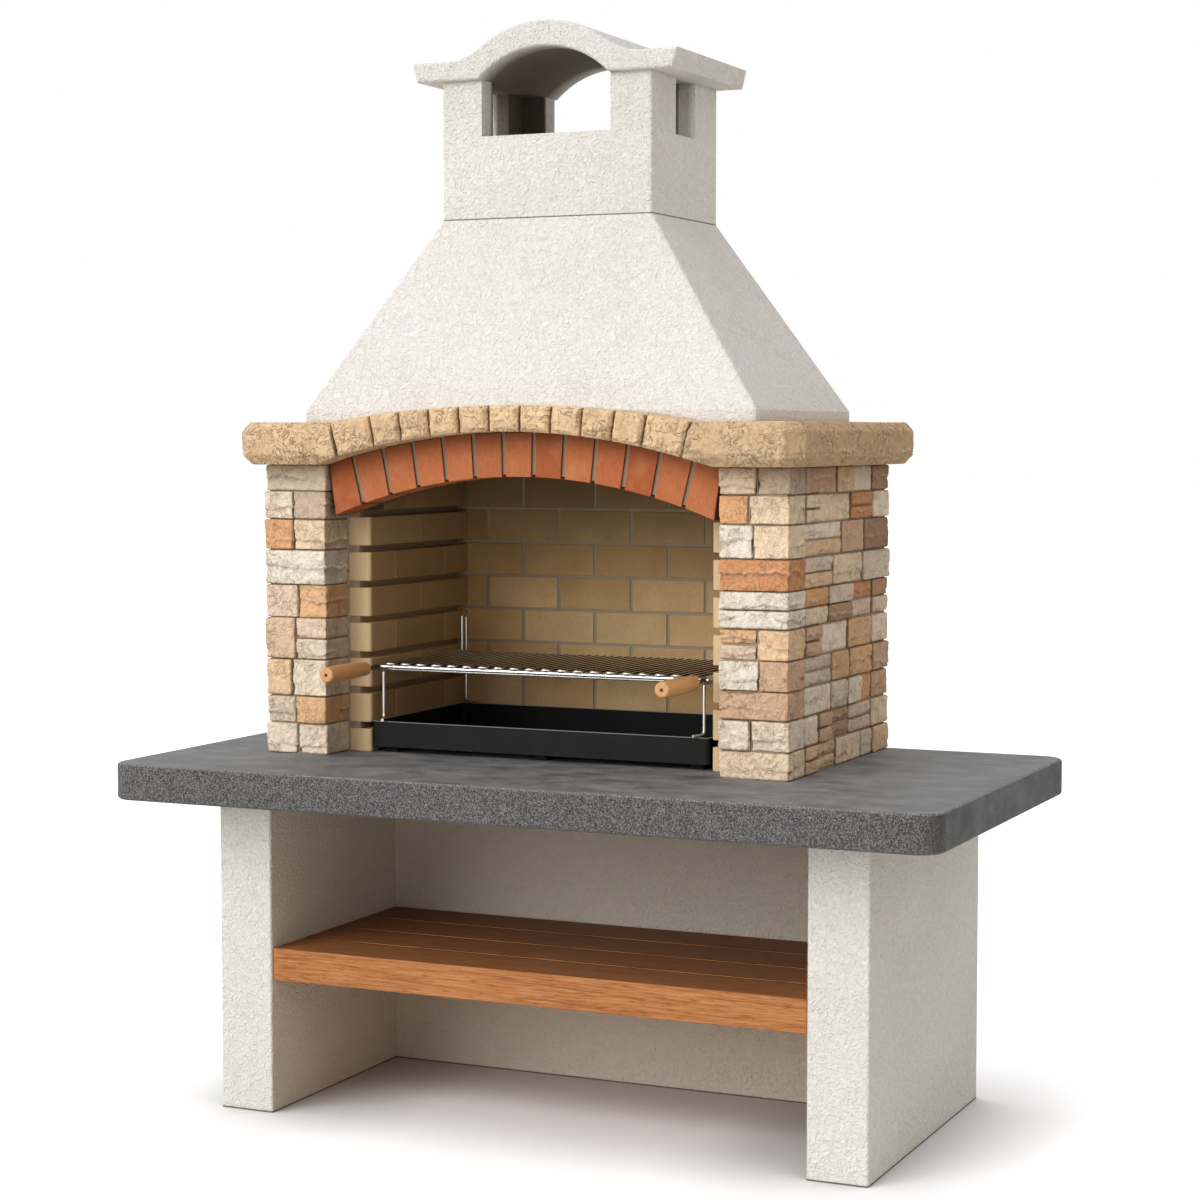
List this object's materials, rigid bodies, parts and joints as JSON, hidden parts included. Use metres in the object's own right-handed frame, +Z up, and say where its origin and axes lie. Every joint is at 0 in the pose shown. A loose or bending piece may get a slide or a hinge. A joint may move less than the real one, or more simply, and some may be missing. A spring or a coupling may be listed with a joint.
{
  "type": "masonry barbecue fireplace",
  "caption": "Free-standing masonry barbecue with stone piers, brick arch, tapered hood, wide worktop, log shelf, pull-out charcoal tray and a sliding cooking grid.",
  "frame": {"origin": "middle of the whole object's footprint box, on the ground", "axes": "+Z up, -Y towards the cook, +X to the cook's right"},
  "size_m": [1.718, 0.927, 2.198],
  "materials": {
    "render": "white cement render with a fine stipple, matte",
    "shelf_wood": "orange-brown stained softwood, satin",
    "steel_pin": "plain turned steel",
    "slab": "dark grey cast concrete, trowelled top, worn arris",
    "concrete": "plain cast concrete",
    "hewn_stone": "split sandstone in mixed cream, tan, pink and grey",
    "firebrick": "buff refractory brick, matte",
    "mortar": "grey cement mortar",
    "red_brick": "fired red clay, matte",
    "mantel_stone": "tan rock-faced cast stone",
    "tray_enamel": "black heat-proof enamel, satin",
    "chrome_wire": "bright chromed wire",
    "rod_steel": "dark oxidised steel",
    "grip_wood": "turned beech, lightly oiled"
  },
  "bodies": {
    "masonry": {"base_leg_left": "render", "base_leg_right": "render", "base_rear_panel": "render", "smoke_hood": "render", "chimney_block": "render", "chimney_crown_posts": "render", "chimney_cap": "render", "shelf_plank_1": "shelf_wood", "shelf_plank_2": "shelf_wood", "shelf_plank_3": "shelf_wood", "shelf_plank_4": "shelf_wood", "shelf_battens": "shelf_wood", "shelf_pins": "steel_pin", "worktop_slab": "slab", "wall_core_left": "concrete", "wall_core_right": "concrete", "wall_core_rear": "concrete", "arch_lintel": "concrete", "pier_stones_left": "hewn_stone", "pier_stones_right": "hewn_stone", "side_stones_left": "hewn_stone", "side_stones_right": "hewn_stone", "lining_bricks_left": "firebrick", "lining_bricks_right": "firebrick", "rear_bricks": "firebrick", "pier_mortar_left": "mortar", "pier_mortar_right": "mortar", "side_mortar_left": "mortar", "side_mortar_right": "mortar", "lining_mortar_left": "mortar", "lining_mortar_right": "mortar", "rear_mortar": "mortar", "arch_mortar": "mortar", "arch_bricks": "red_brick", "mantel_arch_stones": "mantel_stone", "mantel_corner_left": "mantel_stone", "mantel_corner_right": "mantel_stone", "mantel_rear_beam": "mantel_stone"},
    "tray": {"charcoal_tray": "tray_enamel", "tray_feet": "tray_enamel"},
    "stand": {"stand_frame_left": "chrome_wire", "stand_frame_right": "chrome_wire", "stand_cross_wires": "chrome_wire"},
    "grid": {"grid_rails": "chrome_wire", "grid_bars": "chrome_wire", "handle_rods": "rod_steel", "handle_grip_left": "grip_wood", "handle_grip_right": "grip_wood"}
  },
  "joints": [
    {"name": "tray_pull", "type": "slide", "parent": "masonry", "child": "tray", "axis": [0, -1, 0], "range_m": [0, 0.35]},
    {"name": "stand_lift", "type": "slide", "parent": "tray", "child": "stand", "axis": [0, 0, 1], "range_m": [0, 0.15]},
    {"name": "grid_pull", "type": "slide", "parent": "stand", "child": "grid", "axis": [0, -1, 0], "range_m": [0, 0.3]}
  ]
}
